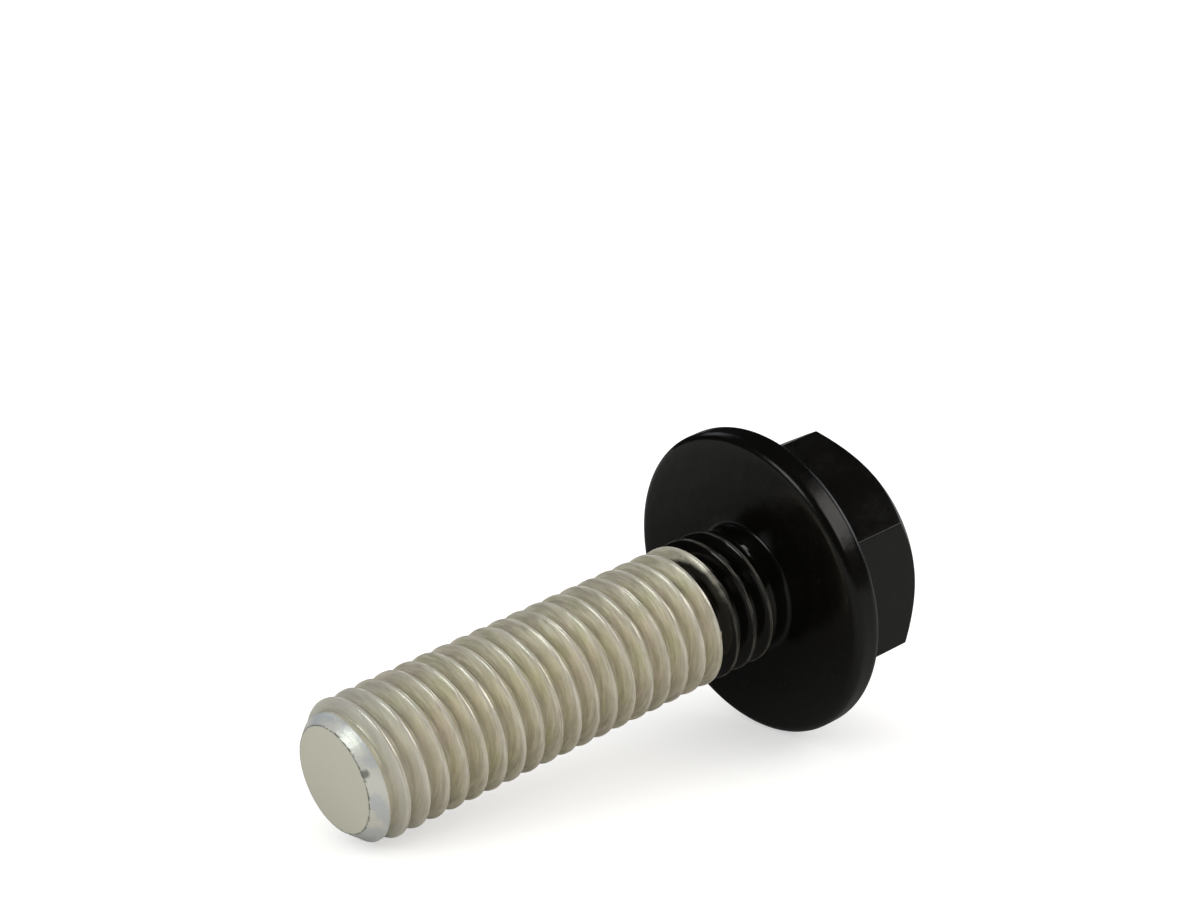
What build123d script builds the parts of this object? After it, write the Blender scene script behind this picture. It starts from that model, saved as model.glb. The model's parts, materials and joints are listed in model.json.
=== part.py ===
"""M8 hexagon flange bolt, lying at rest on its flange rim and its thread.

One cold-forged and thread-rolled piece, so one solid. It is drawn along +Z, from the tip at z = 0
up to the crown of the head, and then laid down with the head towards +X.
Origin: middle of the bounding box, on the ground.
"""
import os
from math import asin, atan2, ceil, cos, degrees, hypot, radians, tan

from build123d import *

os.makedirs("parts", exist_ok=True)

# thread, ISO metric, right-handed
thread_dia = 8.0
thread_pitch = 1.25
length = 28.5  # bearing face to tip
tip_dia = 5.9
tip_angle = 42.0  # of the lead-in chamfer
neck_length = 1.7  # plain blank under the head
runout_turns = 0.9  # turns over which the thread fades into the neck
under_head_radius = 0.5

# flange
flange_dia = 17.9
rim_thickness = 1.85
rim_top_radius = 0.6
rim_bottom_radius = 0.5
cone_angle = 27.0  # of the flange's upper face

# hexagon
across_flats = 12.9
head_height = 7.4  # bearing face to crown
corner_radius = 0.4
foot_radius = 0.35  # where the hexagon stands on the cone
crown_dia = 11.9  # flat of the crown
crown_angle = 30.0
crown_radius = 0.6

# how it lies
lying_roll = 5.0  # turn about its own axis, from a corner of the hexagon straight down

# thread section, from the pitch
groove_depth = 0.6134 * thread_pitch
flank_slope = tan(radians(30))
crest_width = thread_pitch / 8
root_width = thread_pitch - crest_width - 2 * groove_depth * flank_slope
crest_radius = thread_dia / 2
root_radius = crest_radius - groove_depth
blank_radius = crest_radius - 0.3248 * thread_pitch  # the pitch radius, to which the blank is drawn

# stations along the axis
shoulder_z = (crest_radius - tip_dia / 2) / tan(radians(tip_angle))
bearing_z = length
neck_z = bearing_z - neck_length
runout_z = neck_z - runout_turns * thread_pitch
rim_top_z = bearing_z + rim_thickness
crown_z = bearing_z + head_height
flange_radius = flange_dia / 2
corner_reach = across_flats / 2 / cos(radians(30))


# one turn of the rolled groove, its section running past the crest
groove_reach = groove_depth + 0.1
groove_mouth = root_width / 2 + groove_reach * flank_slope

with BuildPart() as groove_turn:
    with BuildLine() as groove_path:
        Helix(pitch=thread_pitch, height=thread_pitch, radius=root_radius)
    with BuildSketch(Plane(origin=(root_radius, 0, 0), x_dir=(1, 0, 0), z_dir=(0, 1, 0))):
        with BuildLine():
            Polyline(
                (0, -root_width / 2),
                (groove_reach, -groove_mouth),
                (groove_reach, groove_mouth),
                (0, root_width / 2),
                close=True,
            )
        make_face()
    sweep(path=groove_path.line, is_frenet=True)


# the hexagon, from inside the flange to the crown
with BuildPart() as hexagon:
    with BuildSketch(Plane.XY.offset(bearing_z + rim_thickness / 2)) as hexagon_outline:
        RegularPolygon(across_flats / 2, 6, major_radius=False)
        fillet(hexagon_outline.vertices(), corner_radius)
    extrude(amount=crown_z - bearing_z - rim_thickness / 2)
    # turned crown: a flat circle and a cone that clips the corners
    crown_drop = (corner_reach - crown_dia / 2) * tan(radians(crown_angle))
    with BuildSketch(Plane.XZ):
        with BuildLine():
            Polyline(
                (0, bearing_z),
                (corner_reach, bearing_z),
                (corner_reach, crown_z - crown_drop),
                (crown_dia / 2, crown_z),
                (0, crown_z),
                close=True,
            )
        make_face()
    revolve(axis=Axis.Z, mode=Mode.INTERSECT)
    crown_edge = hexagon.edges().filter_by(GeomType.CIRCLE).sort_by(Axis.Z)[-1]
    fillet(crown_edge, crown_radius)


with BuildPart() as bolt:
    # blank of the shank: lead-in chamfer, crest diameter, fade down to the neck
    with BuildSketch(Plane.XZ):
        with BuildLine():
            Polyline(
                (0, 0),
                (tip_dia / 2, 0),
                (crest_radius, shoulder_z),
                (crest_radius, runout_z),
                (blank_radius, neck_z),
                (0, neck_z),
                close=True,
            )
        make_face()
    revolve(axis=Axis.Z)

    # thread: a full crest stands at the shoulder on the side that the bolt lies on
    first_groove_z = shoulder_z + crest_width / 2 - 1.5 * thread_pitch
    turn_count = ceil((neck_z - first_groove_z) / thread_pitch) + 1
    with Locations(*[(0, 0, first_groove_z + i * thread_pitch) for i in range(turn_count)]):
        add(groove_turn.part, mode=Mode.SUBTRACT)

    # neck and flange; the neck's cone rises out of the groove and ends it
    sunk = 0.1
    cone_start_z = runout_z - sunk * (neck_z - runout_z) / (blank_radius - root_radius)
    cone_peak_z = rim_top_z + flange_radius * tan(radians(cone_angle))
    with BuildSketch(Plane.XZ) as head_section:
        with BuildLine():
            Polyline(
                (0, cone_peak_z),
                (0, cone_start_z),
                (root_radius - sunk, cone_start_z),
                (blank_radius, neck_z),
                (blank_radius, bearing_z - under_head_radius),
            )
            RadiusArc(
                (blank_radius, bearing_z - under_head_radius),
                (blank_radius + under_head_radius, bearing_z),
                -under_head_radius,
            )
            Polyline(
                (blank_radius + under_head_radius, bearing_z),
                (flange_radius, bearing_z),
                (flange_radius, rim_top_z),
                (0, cone_peak_z),
            )
        make_face()
        fillet(head_section.vertices().group_by(Axis.X)[-1].sort_by(Axis.Y)[0], rim_bottom_radius)
        fillet(head_section.vertices().group_by(Axis.X)[-1].sort_by(Axis.Y)[-1], rim_top_radius)
    revolve(axis=Axis.Z)

    # hexagon, blended into the cone all round its foot
    add(hexagon.part)
    fillet(bolt.edges(Select.NEW), foot_radius)


# lying: the rim's lower rounding and the thread's shoulder touch the ground
reach = bearing_z + rim_bottom_radius - shoulder_z
rise = flange_radius - rim_bottom_radius - crest_radius
lying_tilt = degrees(atan2(rise, reach) + asin(rim_bottom_radius / hypot(reach, rise)))

with BuildPart() as laid_bolt:
    add(bolt.part, rotation=(0, 90 - lying_tilt, lying_roll))
extent = laid_bolt.part.bounding_box()

with BuildPart() as flange_bolt:
    with Locations((-extent.center().X, -extent.center().Y, -extent.min.Z)):
        add(laid_bolt.part)

flange_bolt.part.label = "flange_bolt"
export_step(flange_bolt.part, "parts/flange_bolt.step")
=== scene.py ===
import json
import math

import bmesh
import bpy
import numpy as np
from mathutils import Matrix, Vector


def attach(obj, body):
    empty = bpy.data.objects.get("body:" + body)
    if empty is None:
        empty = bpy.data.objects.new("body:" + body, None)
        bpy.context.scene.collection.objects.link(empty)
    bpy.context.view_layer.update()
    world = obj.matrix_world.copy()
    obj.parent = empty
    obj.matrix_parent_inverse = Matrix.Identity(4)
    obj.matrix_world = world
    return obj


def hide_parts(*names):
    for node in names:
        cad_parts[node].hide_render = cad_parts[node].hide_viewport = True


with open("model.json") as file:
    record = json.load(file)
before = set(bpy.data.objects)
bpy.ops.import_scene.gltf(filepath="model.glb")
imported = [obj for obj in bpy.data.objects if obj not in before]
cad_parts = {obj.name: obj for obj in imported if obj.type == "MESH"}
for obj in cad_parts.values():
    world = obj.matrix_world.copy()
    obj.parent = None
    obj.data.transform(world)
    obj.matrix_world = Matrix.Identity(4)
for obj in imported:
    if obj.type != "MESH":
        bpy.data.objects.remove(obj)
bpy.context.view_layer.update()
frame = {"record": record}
mounts = {m["name"]: m for m in frame["record"]["mounts"]}

# One fine mesh stands for the whole bolt. It is drawn in millimetres along Z, with the tip at
# z = 0 and the head on top, and is then laid down where the frame has the bolt.

thread = {
    "dia": 8.0,
    "pitch": 1.25,
    "length": 28.5,          # from the tip to the head's bearing face
    "tipDia": 5.9,
    "tipAngle": 42.0,
    "tipBreak": 0.018,       # height of the small broken edge round the tip's face
    "tipInset": 0.97,        # the face's size inside that edge
    "neck": 1.05,            # plain part under the head
    "runoutTurns": 0.55,
    "runoutPower": 2.2,      # how late in the run-out the crest sinks
    "underHead": 0.38,       # rounding between neck and bearing face
    "phase": -0.42,          # where the thread starts, along the axis
    "fadeIn": (0.42, 1.35),  # the groove deepens between these heights above the tip
    "fadeRounding": 0.04,
    "rootRounding": 0.10,    # softness of the valley
    "crestRounding": 0.075,  # softness of the crest's edges
    "crestWear": 0.004,
    "crestWander": 0.0036,   # unevenness of the crest's height
    "crestSeam": 0.065,      # depth of the rolling seam along the crest
    "seamWidth": 0.055,
    "leadRounding": 0.05,    # softness where a crest meets the tip's chamfer
    "leadWander": 0.012,     # unevenness of that chamfer
    "stepsPerTurn": 120,
    # rows of the mesh from the groove's middle to the crest, closest together where it bends most
    "rows": [0.0, 0.055, 0.105, 0.15, 0.21, 0.30, 0.39, 0.47, 0.52, 0.545, 0.565, 0.585, 0.605, 0.625],
}
head = {
    "flangeDia": 17.9,
    "rim": 1.65,             # thickness of the flange at its edge
    "rimTopRadius": 0.7,
    "rimBottomRadius": 0.5,
    "coneAngle": 27.0,       # slope of the flange's upper face
    "flats": 12.9,
    "height": 7.4,           # from bearing face to top
    "cornerRadius": 0.12,
    "footRadius": 0.35,      # where the hexagon stands on the flange
    "topDia": 11.9,          # flat of the top
    "topAngle": 43.0,        # chamfer that clips the hexagon's corners
    "topRadius": 0.7,
    "arrisRadius": 0.13,     # the curved edges between that chamfer and the flats
    "middleHole": 0.25,      # radius of the last ring of the mesh, closed by one face
    "cornerSteps": 9,
    "flatSteps": 26,
}
lyingRoll = 5.0              # degrees about its own axis
threadEnds = 0.15            # the thread's mesh ends this far above the neck's foot
headStarts = 0.45            # and the head's mesh starts here
millimetre = 0.001

crest = thread["dia"] / 2
depth = 0.6134 * thread["pitch"]
root = crest - depth
blank = crest - 0.3248 * thread["pitch"]
slope = math.tan(math.radians(30))
crestWidth = thread["pitch"] / 8
rootWidth = thread["pitch"] - crestWidth - 2 * depth * slope
tipRadius = thread["tipDia"] / 2
leadSlope = math.tan(math.radians(thread["tipAngle"]))
shoulderZ = (crest - tipRadius) / leadSlope
bearingZ = thread["length"]
neckZ = bearingZ - thread["neck"]
runoutZ = neckZ - thread["runoutTurns"] * thread["pitch"]
topZ = bearingZ + head["height"]
firstGrooveZ = shoulderZ + crestWidth / 2 - 1.5 * thread["pitch"] + thread["phase"]
rimRadius = head["flangeDia"] / 2
flat = head["flats"] / 2


def softMax(a, b, k):
    return 0.5 * (a + b + np.sqrt((a - b) ** 2 + k * k))


def softMin(a, b, k):
    return 0.5 * (a + b - np.sqrt((a - b) ** 2 + k * k))


def smooth(x):
    return x * x * (3 - 2 * x)


def wave(x, seed):
    # slow, smooth unevenness made of a few sines
    total = np.zeros_like(x)
    rng = np.random.default_rng(seed)
    for octave in range(1, 6):
        total += np.sin(x * octave * rng.uniform(0.7, 1.4) + rng.uniform(0, 6.28)) / octave
    return total


def threadRadius(across, along, z):
    # across: distance from the groove's middle, along: turns of thread, z: height above the tip
    flank = root + (np.abs(across) - rootWidth / 2) / slope
    r = softMax(np.full_like(flank, root), flank, thread["rootRounding"])
    crestHere = crest + thread["crestWander"] * wave(along * 2.1, 3) - thread["crestWear"]
    r = softMin(r, crestHere, thread["crestRounding"])
    # rolling seam, open in some places and closed in others
    fromCrest = thread["pitch"] / 2 - np.abs(across)
    seam = np.clip(1 - (fromCrest / thread["seamWidth"]) ** 2, 0, 1)
    seam = seam * np.clip(0.55 + 0.5 * wave(along * 5, 8), 0, 1.2)
    r = r - thread["crestSeam"] * seam
    # chamfer of the tip, and the groove that deepens behind it
    lead = tipRadius + z * leadSlope
    r = softMin(r, lead + thread["leadWander"] * wave(along * 2 * math.pi, 5), thread["leadRounding"])
    low, high = thread["fadeIn"]
    grown = smooth(np.clip((z - low) / (high - low), 0, 1))
    letGo = 0.4 * (grown >= 1)
    r = softMax(r, np.minimum(lead, crest) - depth * grown - letGo, thread["fadeRounding"])
    # run-out into the neck
    fade = np.clip((z - runoutZ) / (neckZ - runoutZ), 0, 1) ** thread["runoutPower"]
    highest = crest + (blank - crest) * fade
    lowest = np.where(fade > 0, root + (blank - root) * fade, 0)
    return np.maximum(np.minimum(r, highest), lowest)


def threadGrid():
    # a ribbon one pitch wide, wound up the shank
    steps = thread["stepsPerTurn"]
    half = thread["rows"]
    across = np.array([-x for x in reversed(half[1:])] + half)
    turns = math.ceil((neckZ + 0.3 - firstGrooveZ) / thread["pitch"]) + 2
    rows = np.arange(-steps, steps * turns)
    j, a = np.meshgrid(rows, across, indexing="ij")
    phi = 2 * math.pi * j / steps
    z = firstGrooveZ + thread["pitch"] * j / steps + a
    r = threadRadius(a, j / steps, z)
    return np.stack([r * np.cos(phi), r * np.sin(phi), z], axis=-1)


def buildThread(bm):
    points = threadGrid()
    steps = thread["stepsPerTurn"]
    rows = points.shape[0]
    last = points.shape[1] - 2             # the grid's last column is the next turn's first
    verts = [[bm.verts.new(p) for p in row[:-1]] for row in points]
    for j in range(rows - 1):
        for i in range(last):
            bm.faces.new((verts[j][i], verts[j + 1][i], verts[j + 1][i + 1], verts[j][i + 1]))
        if j + 1 + steps < rows:
            bm.faces.new((verts[j][last], verts[j + 1][last], verts[j + 1 + steps][0], verts[j + steps][0]))
    # trimmed at the tip and at the neck
    for z, above in ((thread["tipBreak"], False), (neckZ + threadEnds, True)):
        bmesh.ops.bisect_plane(
            bm, geom=bm.verts[:] + bm.edges[:] + bm.faces[:], dist=1e-5,
            plane_co=(0, 0, z), plane_no=(0, 0, 1), clear_outer=above, clear_inner=not above)


def roundCorner(before, corner, after, radius, count):
    d1 = before - corner
    d2 = after - corner
    l1 = np.linalg.norm(d1, axis=-1, keepdims=True)
    l2 = np.linalg.norm(d2, axis=-1, keepdims=True)
    d1 = d1 / l1
    d2 = d2 / l2
    halfAngle = 0.5 * np.arccos(np.clip((d1 * d2).sum(-1, keepdims=True), -1, 1))
    reach = np.minimum(radius / np.tan(halfAngle), 0.48 * np.minimum(l1, l2))
    bisector = d1 + d2
    bisector = bisector / np.linalg.norm(bisector, axis=-1, keepdims=True)
    centre = corner + bisector * reach / np.cos(halfAngle)
    start = corner + d1 * reach - centre
    end = corner + d2 * reach - centre
    sweep = math.pi - 2 * halfAngle
    arc = []
    for t in np.linspace(0, 1, count):
        arc.append(centre + (start * np.sin((1 - t) * sweep) + end * np.sin(t * sweep)) / np.sin(sweep))
    return arc


cornerCentre = (flat - head["cornerRadius"]) / math.cos(math.radians(30))
cornerHalf = math.atan2(
    head["cornerRadius"] * 0.5, cornerCentre + head["cornerRadius"] * math.cos(math.radians(30)))


def hexagonReach(phi):
    # distance from the axis to the hexagon's side, with its corners rounded
    toCorner = (phi + math.radians(30)) % math.radians(60) - math.radians(30)
    toFlat = phi % math.radians(60) - math.radians(30)
    beyond = np.maximum(head["cornerRadius"] ** 2 - (cornerCentre * np.sin(toCorner)) ** 2, 0)
    rounded = cornerCentre * np.cos(toCorner) + np.sqrt(beyond)
    return np.where(np.abs(toCorner) < cornerHalf, rounded, flat / np.cos(toFlat))


def headGrid():
    # one profile for each angle, from the neck to the top
    sector = math.radians(60)
    fan = np.concatenate([
        np.linspace(-cornerHalf, cornerHalf, head["cornerSteps"]),
        np.linspace(cornerHalf, sector - cornerHalf, head["flatSteps"])[1:-1]])
    phi = np.concatenate([fan + i * sector for i in range(6)])
    side = hexagonReach(phi)
    topRadius = head["topDia"] / 2
    rimTop = bearingZ + head["rim"]
    footZ = rimTop + (rimRadius - side) * math.tan(math.radians(head["coneAngle"]))
    arrisZ = topZ - (side - topRadius) * math.tan(math.radians(head["topAngle"]))

    def at(r, z):
        return np.stack([r * np.ones_like(phi), z * np.ones_like(phi)], axis=-1)

    # corner of the profile, its rounding, points round it, rings along the run before it
    corners = [
        (at(blank, neckZ + headStarts), 0, 1, 0),
        (at(blank, bearingZ), thread["underHead"], 8, 3),
        (at(rimRadius, bearingZ), head["rimBottomRadius"], 9, 8),
        (at(rimRadius, rimTop), head["rimTopRadius"], 9, 3),
        (at(side, footZ), head["footRadius"], 8, 8),
        (at(side, arrisZ), head["arrisRadius"], 6, 8),
        (at(topRadius, topZ), head["topRadius"], 8, 2),
        (at(head["middleHole"], topZ), 0, 1, 10),
    ]
    rings = [corners[0][0]]
    for i in range(1, len(corners)):
        corner, rounding, arcPoints, runRings = corners[i]
        arc = [corner]
        if rounding:
            arc = roundCorner(corners[i - 1][0], corner, corners[i + 1][0], rounding, arcPoints)
        start = rings[-1]
        for t in np.linspace(0, 1, runRings + 2)[1:-1]:
            rings.append(start + (arc[0] - start) * t)
        rings.extend(arc)
    profile = np.stack(rings)
    r = profile[..., 0]
    z = profile[..., 1]
    return np.stack([r * np.cos(phi), r * np.sin(phi), z], axis=-1)


def buildHead(bm):
    verts = [[bm.verts.new(p) for p in ring] for ring in headGrid()]
    for lower, upper in zip(verts, verts[1:]):
        for i in range(len(lower)):
            k = (i + 1) % len(lower)
            bm.faces.new((lower[i], lower[k], upper[k], upper[i]))
    bm.faces.new(list(reversed(verts[-1])))


def boundaryAt(bm, z):
    return [e for e in bm.edges if e.is_boundary and all(abs(v.co.z - z) < 0.015 for v in e.verts)]


def buildBolt():
    bm = bmesh.new()
    buildThread(bm)
    # tip: a small broken edge, then the flat face
    ring = bmesh.ops.extrude_edge_only(bm, edges=boundaryAt(bm, thread["tipBreak"]))["geom"]
    for v in [g for g in ring if isinstance(g, bmesh.types.BMVert)]:
        v.co.x *= thread["tipInset"]
        v.co.y *= thread["tipInset"]
        v.co.z = 0
    bmesh.ops.holes_fill(bm, edges=[g for g in ring if isinstance(g, bmesh.types.BMEdge)], sides=0)
    neckEdges = boundaryAt(bm, neckZ + threadEnds)
    buildHead(bm)
    bmesh.ops.bridge_loops(bm, edges=neckEdges + boundaryAt(bm, neckZ + headStarts))
    bmesh.ops.recalc_face_normals(bm, faces=bm.faces[:])
    mesh = bpy.data.meshes.new("flange_bolt_body")
    bm.to_mesh(mesh)
    bm.free()
    return mesh


boltMesh = buildBolt()
print("bolt mesh:", len(boltMesh.polygons), "faces")

# the head is painted, and the paint runs a little way down the thread
paint = {
    "turn": 19.0,            # which valley of the thread the paint's edge follows
    "crossAngle": 266.0,     # degrees round the shank where it has crossed one crest
    "crossWidth": 125.0,     # degrees that the crossing takes
    "pool": 2.2,             # how far the paint runs ahead in the valley there
    "ragged": 0.13,          # how uneven the edge is
    "edge": (-0.03, 0.05),   # fade of the edge, and where the paint thins out
    "thinEdge": (-0.40, 0.45),
    "colour": (0.0024, 0.0022, 0.0019, 1),
    "thinPaintAndHighlight": (0.068, 0.065, 0.056, 1),   # thin paint on the crests, lightened further as a painted highlight
    "roughness": (0.19, 0.29),
    "threadRoughness": 0.13,
    "peel": 0.020,           # height of the orange peel
}


def paintReach(points):
    # how far above the paint's edge each point lies, and how thin the paint is there
    x, y, z = points.T
    turn = (np.degrees(np.arctan2(y, x)) - paint["crossAngle"]) % 360 / 360
    ramp = smooth(np.clip(1 - (1 - turn) * 360 / paint["crossWidth"], 0, 1))
    start = firstGrooveZ + thread["pitch"] * (paint["turn"] + paint["crossAngle"] / 360)
    edge = start + thread["pitch"] * (turn - ramp)
    valley = np.clip((crest - np.hypot(x, y)) / depth, 0, 1)
    pool = paint["pool"] * np.clip(valley - 0.15, 0, 1) * np.sin(math.pi * ramp) ** 0.7
    thin = np.sin(math.pi * np.clip(ramp * 1.05, 0, 1)) ** 0.5
    return z - edge + pool, thin


def addUv(mesh, points):
    # shank and head wrapped round, each unrolled along its own profile, and the two flat ends apart
    uv = mesh.uv_layers.new(name="OFBake")
    vertexOf = np.empty(len(mesh.loops), dtype=np.int32)
    mesh.loops.foreach_get("vertex_index", vertexOf)
    faceOf = np.repeat(np.arange(len(mesh.polygons)), [len(f.vertices) for f in mesh.polygons])
    middle = np.array([f.center[:] for f in mesh.polygons])[faceOf]
    normalZ = np.array([f.normal.z for f in mesh.polygons])[faceOf]
    p = points[vertexOf]
    r = np.hypot(p[:, 0], p[:, 1])
    around = np.arctan2(p[:, 1], p[:, 0]) / (2 * math.pi) + 0.5
    home = np.arctan2(middle[:, 1], middle[:, 0]) / (2 * math.pi) + 0.5
    around = np.where(around - home > 0.5, around - 1, np.where(home - around > 0.5, around + 1, around))
    u = 0.02 + 0.96 * np.clip(around, 0, 1)
    middleR = np.hypot(middle[:, 0], middle[:, 1])
    onShank = middle[:, 2] < bearingZ - 0.5
    under = ~onShank & (middle[:, 2] < bearingZ + 0.25) & (middleR < rimRadius - 0.15)
    climb = (p[:, 2] - bearingZ) + (rimRadius - r)
    v = 0.79 + 0.20 * climb / (head["height"] + rimRadius)
    v = np.where(under, 0.71 + 0.07 * (r - blank) / (rimRadius - blank), v)
    v = np.where(onShank, 0.30 + 0.40 * p[:, 2] / bearingZ, v)
    tipFace = (middle[:, 2] < 0.01) & (np.abs(normalZ) > 0.8)
    topFace = (middle[:, 2] > topZ - 0.02) & (np.abs(normalZ) > 0.9)
    for face, left, radius in ((tipFace, 0.15, crest), (topFace, 0.45, head["topDia"] / 2)):
        u = np.where(face, left + p[:, 0] * 0.13 / radius, u)
        v = np.where(face, 0.15 + p[:, 1] * 0.13 / radius, v)
    uv.data.foreach_set("uv", np.stack([u, v], axis=-1).astype(np.float32).ravel())


def addMarks(mesh, points):
    # what the material needs to know about each point
    radius = np.hypot(points[:, 0], points[:, 1])
    z = points[:, 2]
    reach, thin = paintReach(points)
    onCone = np.exp(-((radius - tipRadius - z * leadSlope) / 0.16) ** 2)
    atEdge = (np.abs(radius - tipRadius) < 0.08) & (np.abs(z - thread["tipBreak"]) < 0.009)
    marks = {
        "paintReach": reach,
        "paintThin": thin,
        "threadHeight": np.clip((radius - root) / depth, 0, 1),
        "chamfer": onCone * np.clip((shoulderZ + 0.25 - z) / 0.8, 0, 1),
        "tipFace": (z < thread["tipBreak"] / 2).astype(float),
        "tipEdge": atEdge.astype(float),
    }
    for name, values in marks.items():
        mesh.attributes.new(name, "FLOAT", "POINT").data.foreach_set("value", values)
    mesh.attributes.new("drawn", "FLOAT_VECTOR", "POINT").data.foreach_set("vector", points.ravel())


def boltPlacement():
    # the middle of the head's top and the axis come from the frame
    drive = mounts["hexagon_drive"]
    axis = Vector(drive["axis"]).normalized()
    across = Vector((0, 1, 0))
    down = across.cross(axis)
    origin = Vector(drive["pos_m"]) - axis * topZ * millimetre
    turn = Matrix((down, across, axis)).transposed().to_4x4()
    roll = Matrix.Rotation(math.radians(lyingRoll), 4, "Z")
    return Matrix.Translation(origin) @ turn @ roll @ Matrix.Scale(millimetre, 4)


def placeBolt(mesh):
    points = np.empty(len(mesh.vertices) * 3, dtype=np.float32)
    mesh.vertices.foreach_get("co", points)
    points = points.reshape(-1, 3).astype(float)
    addUv(mesh, points)
    addMarks(mesh, points)
    mesh.transform(boltPlacement())
    mesh.shade_smooth()
    mesh.set_sharp_from_angle(angle=math.radians(38))
    bolt = bpy.data.objects.new("bolt_body", mesh)
    bpy.context.scene.collection.objects.link(bolt)
    return bolt


bolt = placeBolt(boltMesh)
print("bolt laid in its place")

zinc = {
    # the valleys' darker colour is painted shade in the grooves
    "valley": (0.65, 0.60, 0.455, 1),
    "crest": (0.80, 0.755, 0.62, 1),
    "greenTint": (0.70, 0.69, 0.47, 1),    # faint rainbow of the passivation
    "pinkTint": (0.79, 0.69, 0.61, 1),
    "blueTint": (0.70, 0.72, 0.72, 1),
    "green": 0.55,                         # how strong each tint is
    "pink": 0.45,
    "blue": 0.40,
    "streaks": (0.74, 1.16),               # darkest and lightest streak left by the rolling
    "crestHighlightColour": (0.98, 0.93, 0.85, 1),        # rubbed crests, lightened as a painted highlight
    "crestHighlightAmount": 0.65,
    "crestRoughness": 0.29,
    "metallic": 0.60,
    "roughness": (0.28, 0.47),
    "nearTip": (0.74, 0.735, 0.68, 1),     # greyer towards the tip
    "greyFrom": (5.5, 0.8),
    "grey": 0.88,
    "tipFace": (0.535, 0.535, 0.475, 1),
    "tipEdge": (0.12, 0.12, 0.10, 1),
    "chamfer": (0.78, 0.785, 0.75, 1),
    "chamferBlue": (0.64, 0.675, 0.71, 1),
    "nick": (0.20, 0.215, 0.20, 1),        # a small dent beside the tip's face
    "nickAngle": 243.0,
    "nickRadius": 3.08,
    "nickHeight": 0.14,
    "nickDepth": 0.05,
    "grain": (0.010, 0.020, 0.014),        # height of fine grain, coarse grain and streaks
}


class Nodes:
    # short hands for building a node tree
    def __init__(self, name):
        self.material = bpy.data.materials.new(name)
        self.material.use_nodes = True
        self.tree = self.material.node_tree
        self.tree.nodes.clear()

    def add(self, kind, **settings):
        node = self.tree.nodes.new(kind)
        for key, value in settings.items():
            setattr(node, key, value)
        return node

    def join(self, source, target):
        self.tree.links.new(source, target)

    def feed(self, socket, value):
        if isinstance(value, bpy.types.NodeSocket):
            self.join(value, socket)
        else:
            socket.default_value = value

    def attribute(self, name, output="Fac"):
        return self.add("ShaderNodeAttribute", attribute_name=name).outputs[output]

    def maths(self, operation, a, b):
        node = self.add("ShaderNodeMath", operation=operation)
        self.feed(node.inputs[0], a)
        self.feed(node.inputs[1], b)
        return node.outputs[0]

    def plus(self, a, b):
        return self.maths("ADD", a, b)

    def minus(self, a, b):
        return self.maths("SUBTRACT", a, b)

    def times(self, a, b):
        return self.maths("MULTIPLY", a, b)

    def length(self, vector):
        node = self.add("ShaderNodeVectorMath", operation="LENGTH")
        self.join(vector, node.inputs[0])
        return node.outputs["Value"]

    def stretch(self, vector, scale, shift=(0, 0, 0)):
        node = self.add("ShaderNodeMapping")
        self.join(vector, node.inputs["Vector"])
        node.inputs["Scale"].default_value = scale
        node.inputs["Location"].default_value = shift
        return node.outputs["Vector"]

    def noise(self, vector, scale, detail=3.0, rough=0.55):
        node = self.add("ShaderNodeTexNoise")
        self.join(vector, node.inputs["Vector"])
        node.inputs["Scale"].default_value = scale
        node.inputs["Detail"].default_value = detail
        node.inputs["Roughness"].default_value = rough
        return node.outputs["Fac"]

    def span(self, value, low, high, toLow=0.0, toHigh=1.0, kind="SMOOTHSTEP"):
        node = self.add("ShaderNodeMapRange", interpolation_type=kind)
        self.join(value, node.inputs["Value"])
        node.inputs["From Min"].default_value = low
        node.inputs["From Max"].default_value = high
        node.inputs["To Min"].default_value = toLow
        node.inputs["To Max"].default_value = toHigh
        return node.outputs["Result"]

    def mixColour(self, amount, a, b):
        node = self.add("ShaderNodeMix", data_type="RGBA")
        self.feed(node.inputs["Factor"], amount)
        self.feed(node.inputs[6], a)
        self.feed(node.inputs[7], b)
        return node.outputs[2]

    def mixValue(self, amount, a, b):
        node = self.add("ShaderNodeMix", data_type="FLOAT")
        self.feed(node.inputs["Factor"], amount)
        self.feed(node.inputs[2], a)
        self.feed(node.inputs[3], b)
        return node.outputs[0]

    def mixShader(self, amount, a, b):
        node = self.add("ShaderNodeMixShader")
        self.join(amount, node.inputs[0])
        self.join(a, node.inputs[1])
        self.join(b, node.inputs[2])
        return node.outputs[0]

    def finish(self, shader):
        self.join(shader, self.add("ShaderNodeOutputMaterial").inputs["Surface"])
        return self.material


def nickMask(n, place, speck):
    angle = math.radians(zinc["nickAngle"])
    away = (zinc["nickRadius"] * math.cos(angle), zinc["nickRadius"] * math.sin(angle), zinc["nickHeight"])
    offset = n.add("ShaderNodeVectorMath", operation="SUBTRACT")
    n.join(place, offset.inputs[0])
    offset.inputs[1].default_value = away
    ragged = n.plus(n.length(offset.outputs[0]), n.times(speck, 0.16))
    return n.span(ragged, 0.40, 0.20)


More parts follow.
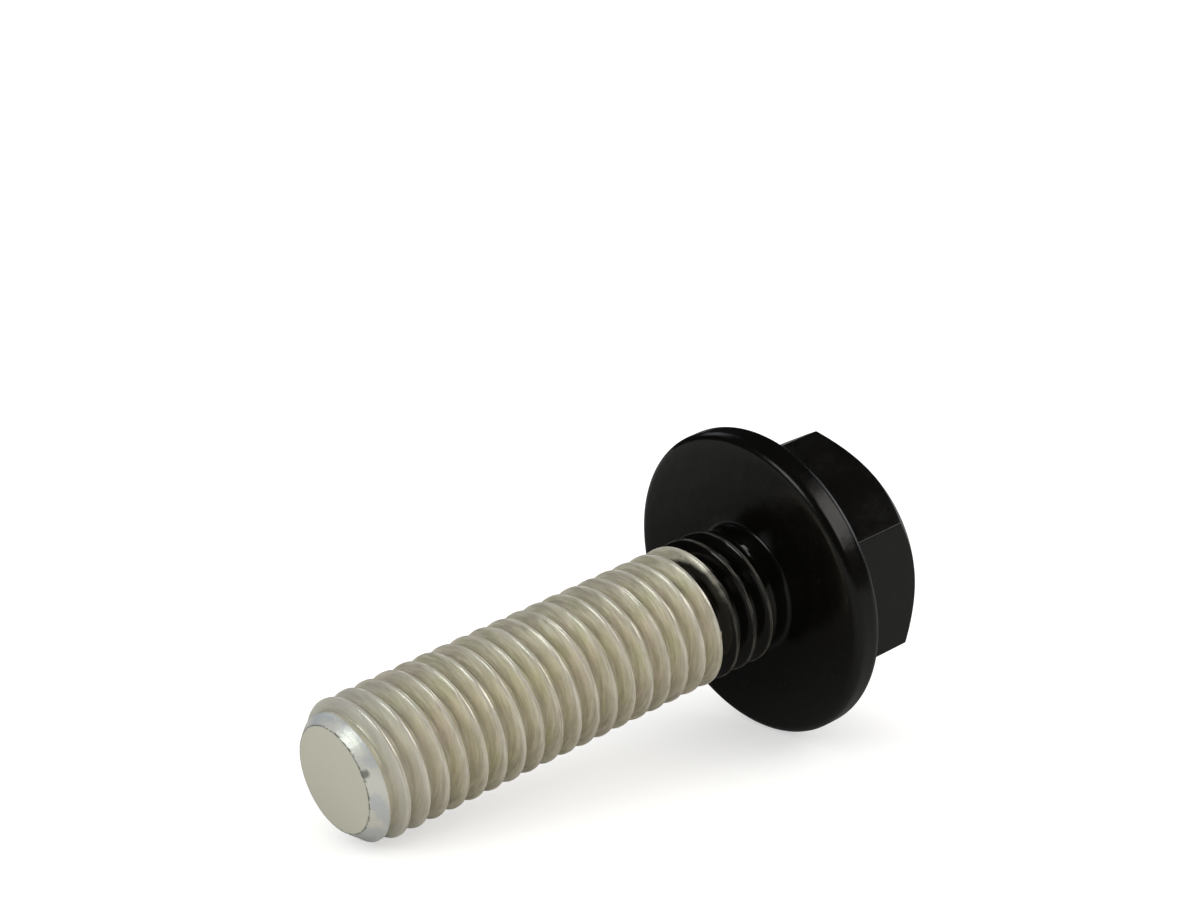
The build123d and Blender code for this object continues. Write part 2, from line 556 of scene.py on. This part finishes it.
def zincLook(n, place, along, high, streak):
    # lighter crests, olive valleys darkened as painted shade in the grooves, clouds of tint and streaks
    # along the rolling
    speck = n.noise(place, 5.5, 4.0)
    cloud = n.noise(n.stretch(place, (1, 1, 1.6)), 0.55)
    rise = n.plus(high, n.times(n.minus(speck, 0.5), 0.5))
    colour = n.mixColour(n.span(rise, 0.0, 0.85), zinc["valley"], zinc["crest"])
    colour = n.mixColour(n.span(cloud, 0.50, 0.68, 0, zinc["green"]), colour, zinc["greenTint"])
    colour = n.mixColour(n.span(cloud, 0.46, 0.34, 0, zinc["pink"]), colour, zinc["pinkTint"])
    colour = n.mixColour(n.span(streak, 0.58, 0.72, 0, zinc["blue"]), colour, zinc["blueTint"])
    tone = n.add("ShaderNodeHueSaturation")
    n.join(colour, tone.inputs["Color"])
    n.join(n.span(streak, 0.30, 0.70, *zinc["streaks"], kind="LINEAR"), tone.inputs["Value"])
    grey = n.times(n.span(along, *zinc["greyFrom"], 0, zinc["grey"]), n.span(rise, 0.1, 0.9, 0.45, 1.0))
    colour = n.mixColour(grey, tone.outputs["Color"], zinc["nearTip"])

    # tip: chamfer, flat face, the line round it and the nick
    cone = n.attribute("chamfer")
    cone = n.span(n.plus(cone, n.times(n.minus(streak, 0.5), 0.9)), 0.12, 0.62)
    face = n.attribute("tipFace")
    line = n.times(n.attribute("tipEdge"), n.span(speck, 0.30, 0.55))
    nick = nickMask(n, place, speck)
    coneColour = n.mixColour(n.span(cloud, 0.42, 0.60), zinc["chamfer"], zinc["chamferBlue"])
    colour = n.mixColour(cone, colour, coneColour)
    colour = n.mixColour(face, colour, zinc["tipFace"])
    colour = n.mixColour(line, colour, zinc["tipEdge"])
    colour = n.mixColour(n.times(nick, 0.85), colour, zinc["nick"])

    # rubbed crests: smoother, and lightened by a painted highlight
    wearAndHighlight = n.times(n.span(high, 0.74, 0.97), n.span(streak, 0.36, 0.56, 0.30, 1.0))
    colour = n.mixColour(n.times(wearAndHighlight, zinc["crestHighlightAmount"]), colour, zinc["crestHighlightColour"])
    rough = n.span(streak, 0.25, 0.75, *zinc["roughness"])
    rough = n.mixValue(wearAndHighlight, rough, zinc["crestRoughness"])
    rough = n.mixValue(cone, rough, 0.33)
    rough = n.mixValue(face, rough, n.span(speck, 0.2, 0.8, 0.50, 0.62))
    metal = n.mixValue(cone, zinc["metallic"], 0.50)
    metal = n.mixValue(face, metal, 0.25)

    fine, coarse, ridged = zinc["grain"]
    grain = n.times(n.noise(n.stretch(place, (1, 1, 3)), 7.0), fine)
    grain = n.plus(grain, n.times(n.noise(place, 1.9), coarse))
    grain = n.plus(grain, n.times(n.times(streak, ridged), n.span(high, 0.45, 0.95)))
    grain = n.minus(grain, n.times(nick, zinc["nickDepth"]))
    return colour, metal, rough, grain


def paintLook(n, place, along, high, streak):
    # gloss black with a little orange peel; thinner on the crests of the thread, where it is lightened
    # partly as a painted highlight
    onShank = n.span(along, bearingZ, bearingZ - 0.5)
    thinPaintAndHighlightMask = n.times(n.span(high, 0.86, 0.97), onShank)
    thinPaintAndHighlightMask = n.times(thinPaintAndHighlightMask, n.span(streak, 0.38, 0.60, 0.22, 1.0))
    colour = n.mixColour(thinPaintAndHighlightMask, paint["colour"], paint["thinPaintAndHighlight"])
    rough = n.span(n.noise(place, 0.45), 0.35, 0.70, *paint["roughness"])
    rough = n.mixValue(onShank, rough, paint["threadRoughness"])
    peel = n.plus(n.times(n.noise(place, 1.1, 2.0, 0.4), paint["peel"]), 0.02)
    return colour, 0.0, rough, peel


def paintMask(n, place):
    ragged = n.times(n.minus(n.noise(place, 1.6, 4.0), 0.5), 4 * paint["ragged"])
    edge = n.plus(n.attribute("paintReach"), ragged)
    thin = n.attribute("paintThin")
    return n.mixValue(thin, n.span(edge, *paint["edge"]), n.span(edge, *paint["thinEdge"]))


def boltMaterial():
    n = Nodes("zinc_and_black_paint")
    place = n.attribute("drawn", "Vector")
    high = n.attribute("threadHeight")
    apart = n.add("ShaderNodeSeparateXYZ")
    n.join(place, apart.inputs[0])
    along = apart.outputs["Z"]
    streak = n.noise(n.stretch(place, (0.5, 0.5, 9)), 1.3, 4.0, 0.6)
    bare = zincLook(n, place, along, high, streak)
    painted = paintLook(n, place, along, high, streak)
    mask = paintMask(n, place)

    shader = n.add("ShaderNodeBsdfPrincipled")
    n.join(n.mixColour(mask, bare[0], painted[0]), shader.inputs["Base Color"])
    n.join(n.mixValue(mask, bare[1], painted[1]), shader.inputs["Metallic"])
    n.join(n.mixValue(mask, bare[2], painted[2]), shader.inputs["Roughness"])
    bump = n.add("ShaderNodeBump")
    bump.inputs["Distance"].default_value = millimetre
    bump.inputs["Strength"].default_value = 1.0
    n.join(n.mixValue(mask, bare[3], painted[3]), bump.inputs["Height"])
    n.join(bump.outputs["Normal"], shader.inputs["Normal"])
    return n.finish(shader.outputs[0])


bolt.data.materials.append(boltMaterial())
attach(bolt, "root")
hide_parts("flange_bolt")
print("material done")

studio = {
    "floorSize": 3.0,
    "floorDrop": 0.00002,
    "floorColour": (0.93, 0.885, 0.78, 1),
    "floorToCamera": (0.60, 0.60, 0.595, 1),
    "floorGlow": 0.51,         # keeps the floor white and its shadow soft, for the camera only
    "floorToGloss": 0.29,      # how light the floor looks in reflections
    "shadeToGloss": 0.05,      # and right beside the bolt
    "shadeReach": (0.004, 0.028),
    "worldColour": (1, 0.99, 0.97, 1),
    "worldToCamera": 1.05,
    "worldToGloss": 0.012,
    "worldFill": 1.00,
    "middle": (0.0, 0.0, 0.006),
}
# place, width and height, power in watts, colour
lights = {
    "key": ((0.21, -0.25, 0.30), (0.32, 0.22), 0.385, (1.0, 0.97, 0.91)),
    "left": ((-0.38, 0.03, 0.24), (0.18, 0.16), 0.30, (0.89, 0.97, 0.92)),
    "back": ((0.06, 0.38, 0.26), (0.26, 0.12), 0.06, (0.88, 0.93, 1.0)),
    "end": ((0.46, 0.02, 0.15), (0.24, 0.20), 0.17, (0.92, 0.96, 1.0)),
}


def floorMaterial():
    n = Nodes("floor_white")
    ray = n.add("ShaderNodeLightPath")
    plain = n.add("ShaderNodeBsdfDiffuse")
    plain.inputs["Color"].default_value = studio["floorColour"]
    seen = n.add("ShaderNodeBsdfDiffuse")
    seen.inputs["Color"].default_value = studio["floorToCamera"]
    glow = n.add("ShaderNodeEmission")
    glow.inputs["Strength"].default_value = studio["floorGlow"]
    toCamera = n.add("ShaderNodeAddShader")
    n.join(seen.outputs[0], toCamera.inputs[0])
    n.join(glow.outputs[0], toCamera.inputs[1])
    # in reflections the floor is darker beside the bolt, a painted shadow
    toGloss = n.add("ShaderNodeEmission")
    toGloss.inputs["Color"].default_value = (1, 1, 0.97, 1)
    where = n.add("ShaderNodeTexCoord").outputs["Object"]
    away = n.length(n.stretch(where, (0.5, 1, 1), (0, -0.009, 0)))
    strength = n.span(away, *studio["shadeReach"], studio["shadeToGloss"], studio["floorToGloss"])
    n.join(strength, toGloss.inputs["Strength"])
    unseen = n.mixShader(ray.outputs["Is Glossy Ray"], plain.outputs[0], toGloss.outputs[0])
    return n.finish(n.mixShader(ray.outputs["Is Camera Ray"], unseen, toCamera.outputs[0]))


def addFloor():
    s = studio["floorSize"]
    mesh = bpy.data.meshes.new("floor")
    mesh.from_pydata([(-s, -s, 0), (s, -s, 0), (s, s, 0), (-s, s, 0)], [], [(0, 1, 2, 3)])
    mesh.materials.append(floorMaterial())
    floor = bpy.data.objects.new("floor", mesh)
    floor.location.z = -studio["floorDrop"]
    bpy.context.scene.collection.objects.link(floor)


def setWorld():
    world = bpy.data.worlds.new("studio")
    bpy.context.scene.world = world
    world.use_nodes = True
    tree = world.node_tree
    tree.nodes.clear()
    ray = tree.nodes.new("ShaderNodeLightPath")

    def background(strength, colour=(1, 1, 1, 1)):
        node = tree.nodes.new("ShaderNodeBackground")
        node.inputs["Color"].default_value = colour
        node.inputs["Strength"].default_value = strength
        return node.outputs[0]

    def choose(kindOfRay, otherwise, then):
        node = tree.nodes.new("ShaderNodeMixShader")
        tree.links.new(ray.outputs[kindOfRay], node.inputs[0])
        tree.links.new(otherwise, node.inputs[1])
        tree.links.new(then, node.inputs[2])
        return node.outputs[0]

    fill = background(studio["worldFill"], studio["worldColour"])
    fill = choose("Is Glossy Ray", fill, background(studio["worldToGloss"]))
    fill = choose("Is Camera Ray", fill, background(studio["worldToCamera"]))
    tree.links.new(fill, tree.nodes.new("ShaderNodeOutputWorld").inputs["Surface"])


def addLight(name, place, size, power, colour):
    data = bpy.data.lights.new(name, "AREA")
    data.shape = "RECTANGLE"
    data.size = size[0]
    data.size_y = size[1]
    data.energy = power
    data.color = colour
    light = bpy.data.objects.new(name, data)
    light.location = place
    aim = Vector(studio["middle"]) - Vector(place)
    light.rotation_euler = aim.to_track_quat("-Z", "Y").to_euler()
    bpy.context.scene.collection.objects.link(light)


addFloor()
setWorld()
for name, settings in lights.items():
    addLight(name, *settings)
print("studio done")

view = {
    "azimuth": -39.613,
    "elevation": 14.046,
    "roll": 0.186,
    "distance": 0.15986,
    "lens": 89.6,
    "aim": (-0.00364, 0.0, 0.005),
    "aimRight": 0.002424,
    "aimUp": 0.013336,
}


def addCamera():
    az = math.radians(view["azimuth"])
    el = math.radians(view["elevation"])
    back = Vector((math.sin(az) * math.cos(el), -math.cos(az) * math.cos(el), math.sin(el)))
    right = Vector((math.cos(az), math.sin(az), 0))
    up = back.cross(right)
    aim = Vector(view["aim"]) + right * view["aimRight"] + up * view["aimUp"]
    data = bpy.data.cameras.new("camera")
    data.lens = view["lens"]
    data.sensor_width = 36
    data.clip_start = 0.005
    data.clip_end = 20
    camera = bpy.data.objects.new("camera", data)
    turn = Matrix((right, up, back)).transposed() @ Matrix.Rotation(math.radians(view["roll"]), 3, "Z")
    camera.matrix_world = Matrix.Translation(aim + back * view["distance"]) @ turn.to_4x4()
    bpy.context.scene.collection.objects.link(camera)
    bpy.context.scene.camera = camera


addCamera()
bpy.context.scene.view_settings.view_transform = "Standard"
print("camera done")
